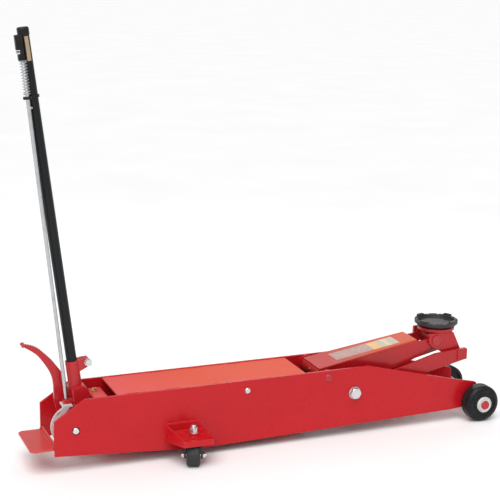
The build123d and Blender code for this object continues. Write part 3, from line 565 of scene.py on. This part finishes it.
def add_split_pin():
    """A split pin through the release rod under its clip, with an open eye at one end."""
    shape = bmesh.new()
    centre = rod_point(872)
    run = Vector((0.6, -0.8, 0.0))
    start, end = centre - run * 0.009, centre + run * 0.0075
    sweep(shape, [start, end], 0.0011, sides=10)
    eye = end + run * 0.0026
    turns = [2 * math.pi * i / 24 for i in range(24)]
    loop = [eye + (run * math.cos(a) + Vector((0, 0, 1)) * math.sin(a)) * 0.0026 for a in turns]
    sweep(shape, loop, 0.0009, sides=8, closed=True)
    mesh_object("rod_split_pin", shape, "bright_steel", "release")


def sticker(name, bands, gloss=0.3):
    """Plain printed bands across a sticker. Each band is (start X in metres, colour), from the rear."""
    paint = Paint(name)
    run = paint.along("X")
    colour = bands[0][1]
    for start, shade in bands[1:]:
        colour = paint.mix(paint.math("GREATER_THAN", run, start), colour, shade)
    fade = paint.between(paint.noise(0.012, detail=5), 0.4, 0.75, 0.0, 0.22)
    colour = paint.mix(fade, colour, (0.55, 0.42, 0.36))
    roughness = paint.between(paint.noise(0.01, detail=4), 0.3, 0.7, gloss - 0.05, gloss + 0.15)
    return paint.surface(colour, roughness, paint.noise(0.004), bump=0.04, round_edges=0.0002)


def label_x(s):
    """The X, in metres, of a place this far along the lifting arm."""
    return arm_point(s, 0, 26).x


add_springs()
add_welds()
add_split_pin()
LABEL_BANDS = [
    (-1.0, (0.34, 0.17, 0.14)),
    (label_x(196), (0.66, 0.36, 0.05)),
    (label_x(226), (0.40, 0.36, 0.27)),
    (label_x(246), (0.58, 0.46, 0.22)),
    (label_x(262), (0.42, 0.37, 0.28)),
]
add_arm_label((60, 288), 33, sticker("label_print", LABEL_BANDS))
add_tube_strip((1003, 1071), (-98, -55), sticker("strip_print", [(-1.0, (0.42, 0.30, 0.17))]))


# ---------------------------------------------------------------- studio


def add_floor():
    shape = bmesh.new()
    bmesh.ops.create_grid(shape, x_segments=1, y_segments=1, size=400)
    data = bpy.data.meshes.new("studio_floor")
    shape.to_mesh(data)
    shape.free()
    floor = bpy.data.objects.new("studio_floor", data)
    bpy.context.scene.collection.objects.link(floor)
    paint = Paint("studio_white")
    tone = paint.mix(paint.between(paint.noise(0.6), 0.3, 0.7), (0.93, 0.93, 0.93), (0.96, 0.96, 0.96))
    dress(floor, paint.surface(tone, 0.85))


def add_light(name, place, target, size, power, colour=(1, 1, 1)):
    data = bpy.data.lights.new(name, "AREA")
    data.energy = power
    data.shape = "RECTANGLE"
    data.size, data.size_y = size
    data.color = colour
    light = bpy.data.objects.new(name, data)
    light.location = place
    light.rotation_euler = (Vector(target) - Vector(place)).to_track_quat("-Z", "Y").to_euler()
    bpy.context.scene.collection.objects.link(light)


def add_sun(name, direction, strength, softness):
    data = bpy.data.lights.new(name, "SUN")
    data.energy = strength
    data.angle = softness
    light = bpy.data.objects.new(name, data)
    light.rotation_euler = Vector(direction).to_track_quat("-Z", "Y").to_euler()
    bpy.context.scene.collection.objects.link(light)


def add_camera():
    """A long lens behind the right side, a little above the jack."""
    yaw, pitch, roll = (math.radians(a) for a in (21.866, 12.824, 0.671))
    forward = Vector((math.sin(yaw) * math.cos(pitch), math.cos(yaw) * math.cos(pitch), -math.sin(pitch)))
    level = Vector((math.cos(yaw), -math.sin(yaw), 0))
    rise = level.cross(forward)
    right = level * math.cos(roll) + rise * math.sin(roll)
    up = rise * math.cos(roll) - level * math.sin(roll)
    data = bpy.data.cameras.new("camera")
    data.lens = 93.48
    camera = bpy.data.objects.new("camera", data)
    turned = Matrix((right, up, -forward)).transposed().to_4x4()
    camera.matrix_world = Matrix.Translation(at(-801.8, -3599.8, 1489.8)) @ turned
    bpy.context.scene.collection.objects.link(camera)
    bpy.context.scene.camera = camera


def add_world():
    world = bpy.data.worlds.new("studio")
    world.use_nodes = True
    background = world.node_tree.nodes["Background"]
    background.inputs["Color"].default_value = (1, 1, 1, 1)
    background.inputs["Strength"].default_value = 0.5
    bpy.context.scene.world = world


add_floor()
add_world()
add_sun("overhead", (0.25, 0.40, -0.9), 2.0, 0.9)
add_light("key", (-1.9, -2.9, 1.9), (0.0, 0, 0.15), (1.8, 1.2), 16)
add_light("rim", (1.6, 2.4, 1.8), (0.1, 0, 0.15), (2.2, 0.8), 16)
bpy.context.scene.view_settings.view_transform = "Standard"
add_camera()
